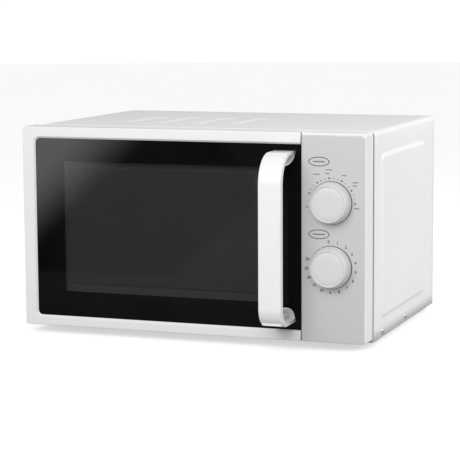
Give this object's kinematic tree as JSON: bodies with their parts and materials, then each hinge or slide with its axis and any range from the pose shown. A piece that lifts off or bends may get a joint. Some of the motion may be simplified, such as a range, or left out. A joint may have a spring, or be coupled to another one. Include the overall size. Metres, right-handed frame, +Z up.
{
  "type": "microwave oven",
  "caption": "Countertop microwave oven with a side-hinged glass door, strap handle, two rotary dials and a glass turntable on a roller ring.",
  "frame": {"origin": "on the surface the oven stands on, under the middle of its overall box", "axes": "+X to the right as seen by the user, +Y from the front to the back, +Z up"},
  "size_m": [0.4422, 0.392, 0.258],
  "materials": {
    "white_enamel": "satin powder coat",
    "cavity_enamel": "semi-gloss enamel",
    "zinc_sheet": "galvanised",
    "white_plastic": "glossy",
    "silver_plastic": "satin silver paint",
    "dial_plastic": "semi-gloss",
    "ivory_plastic": "moulded",
    "grey_plastic": "moulded",
    "black_plastic": "moulded",
    "smoked_glass": "dark printed glass",
    "clear_glass": "clear",
    "clear_film": "clear film",
    "lamp_glass": "clear bulb",
    "foot_rubber": "matt",
    "screw_steel": "nickel plated",
    "spring_steel": "drawn wire",
    "steel_laminate": "varnished laminations",
    "copper_winding": "varnished copper wire",
    "aluminium_sheet": "bright",
    "bell_brass": "bright",
    "mica_sheet": "layered mica",
    "board_green": "solder mask",
    "wire_cover": "wire insulation",
    "ceramic": "glazed ceramic"
  },
  "bodies": {
    "root": {"outer_cabinet": "white_enamel", "base_plate": "zinc_sheet", "back_panel": "zinc_sheet", "feet": "foot_rubber", "cabinet_screws": "screw_steel", "cord_gland": "black_plastic", "front_frame": "white_enamel", "cavity_wrap": "cavity_enamel", "cavity_left_wall": "cavity_enamel", "cavity_right_wall": "cavity_enamel", "mica_cover": "mica_sheet", "waveguide": "zinc_sheet", "magnetron_yoke": "zinc_sheet", "magnetron_fins": "aluminium_sheet", "magnetron_antenna": "ceramic", "magnetron_filter_box": "zinc_sheet", "air_duct": "ivory_plastic", "transformer_core": "steel_laminate", "transformer_windings": "copper_winding", "capacitor": "aluminium_sheet", "capacitor_bracket": "zinc_sheet", "high_voltage_diode": "black_plastic", "fan_shroud": "ivory_plastic", "fan_motor_stator": "steel_laminate", "fan_motor_coil": "copper_winding", "cavity_lamp": "lamp_glass", "lamp_socket": "ceramic", "thermal_cutouts": "black_plastic", "filter_board": "board_green", "control_housing": "white_plastic", "control_fascia": "silver_plastic", "timer_unit": "ivory_plastic", "timer_bell": "bell_brass", "power_switch_unit": "ivory_plastic", "latch_board": "ivory_plastic", "interlock_switches": "black_plastic", "door_hinges": "zinc_sheet", "turntable_motor": "aluminium_sheet", "wiring_harness": "wire_cover"},
    "door": {"door_frame": "white_plastic", "door_glass": "smoked_glass", "door_handle": "white_plastic", "handle_screws": "screw_steel", "door_screen": "zinc_sheet", "choke_cover": "grey_plastic", "door_inner_film": "clear_film", "latch_spring": "spring_steel"},
    "latch": {"latch_hooks": "ivory_plastic"},
    "timer_control": {"timer_dial": "dial_plastic", "timer_shaft": "screw_steel"},
    "power_control": {"power_dial": "dial_plastic", "power_shaft": "screw_steel"},
    "fan": {"fan_rotor": "aluminium_sheet", "fan_blade": "grey_plastic"},
    "turntable": {"turntable_coupler": "ivory_plastic", "glass_tray": "clear_glass"},
    "ring": {"roller_ring": "ivory_plastic"},
    "roller_1_body": {"roller_1": "ivory_plastic"},
    "roller_2_body": {"roller_2": "ivory_plastic"},
    "roller_3_body": {"roller_3": "ivory_plastic"}
  },
  "joints": [
    {"name": "door_hinge", "type": "hinge", "parent": "root", "child": "door", "pos_m": [-0.209, -0.124, 0.1345], "axis": [0, 0, -1], "range_deg": [0, 110]},
    {"name": "latch_slide", "type": "slide", "parent": "door", "child": "latch", "axis": [0, 0, 1], "range_m": [0, 0.004], "stiffness_N_per_m": 200, "springref_m": -0.004, "deforming": ["latch_spring"]},
    {"name": "timer_turn", "type": "hinge", "parent": "root", "child": "timer_control", "pos_m": [0.178, -0.148, 0.1007], "axis": [0, 1, 0], "range_deg": [0, 292]},
    {"name": "power_turn", "type": "hinge", "parent": "root", "child": "power_control", "pos_m": [0.178, -0.148, 0.1765], "axis": [0, 1, 0], "range_deg": [-63, 95]},
    {"name": "fan_spin", "type": "hinge", "parent": "root", "child": "fan", "pos_m": [0.163, 0.166, 0.176], "axis": [0, 1, 0], "continuous": true},
    {"name": "turntable_spin", "type": "hinge", "parent": "root", "child": "turntable", "pos_m": [-0.042, 0.0388, 0.048], "axis": [0, 0, 1], "continuous": true},
    {"name": "ring_spin", "type": "hinge", "parent": "root", "child": "ring", "pos_m": [-0.042, 0.0388, 0.0408], "axis": [0, 0, 1], "continuous": true},
    {"name": "roller_1_spin", "type": "hinge", "parent": "ring", "child": "roller_1_body", "pos_m": [-0.042, 0.1308, 0.0408], "axis": [0, 1, 0], "continuous": true},
    {"name": "roller_2_spin", "type": "hinge", "parent": "ring", "child": "roller_2_body", "pos_m": [-0.12167, -0.0072, 0.0408], "axis": [-0.866, -0.5, 0], "continuous": true},
    {"name": "roller_3_spin", "type": "hinge", "parent": "ring", "child": "roller_3_body", "pos_m": [0.03767, -0.0072, 0.0408], "axis": [0.866, -0.5, 0], "continuous": true}
  ],
  "couplings": [
    {"joint": "ring_spin", "follows": "turntable_spin", "ratio": 0.5},
    {"joint": "roller_1_spin", "follows": "turntable_spin", "ratio": -6.1333},
    {"joint": "roller_2_spin", "follows": "turntable_spin", "ratio": -6.1333},
    {"joint": "roller_3_spin", "follows": "turntable_spin", "ratio": -6.1333}
  ]
}
